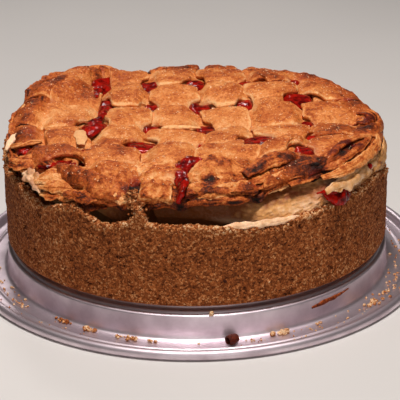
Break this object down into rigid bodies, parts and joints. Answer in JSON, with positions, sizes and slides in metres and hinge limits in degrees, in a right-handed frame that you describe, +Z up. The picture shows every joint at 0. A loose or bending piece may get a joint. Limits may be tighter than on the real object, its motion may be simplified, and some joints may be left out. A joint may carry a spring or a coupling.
{
  "type": "cherry cheese pie",
  "caption": "Tall round pie with a crumb crust, cheese and cherry filling and a woven pastry lattice, on the raised metal base of its springform tin.",
  "frame": {"origin": "centre of the tin base in the plane that it stands on", "axes": "+Z up, -Y towards the front of the pie, +X to its right"},
  "size_m": [0.2766, 0.2766, 0.0966],
  "materials": {
    "tin": "satin pressed sheet, faintly lilac grey, with a bright rolled edge",
    "crumbs": "pressed and baked biscuit crumbs, matt and grainy",
    "cheese": "baked cream cheese, smooth tan skin with cream white where it is broken",
    "cherry": "wet cherry gel, deep red and glossy",
    "pastry": "baked flaky pastry, golden with brown crowns and sugar grains"
  },
  "bodies": {
    "root": {"pan_base": "tin", "crumb_crust": "crumbs", "cheese_filling": "cheese", "cherry_filling": "cherry", "pastry_rim": "pastry", "lattice_long_1": "pastry", "lattice_long_2": "pastry", "lattice_long_3": "pastry", "lattice_long_4": "pastry", "lattice_long_5": "pastry", "lattice_long_6": "pastry", "lattice_cross_1": "pastry", "lattice_cross_2": "pastry", "lattice_cross_3": "pastry", "lattice_cross_4": "pastry", "lattice_cross_5": "pastry", "lattice_cross_6": "pastry"}
  },
  "joints": []
}
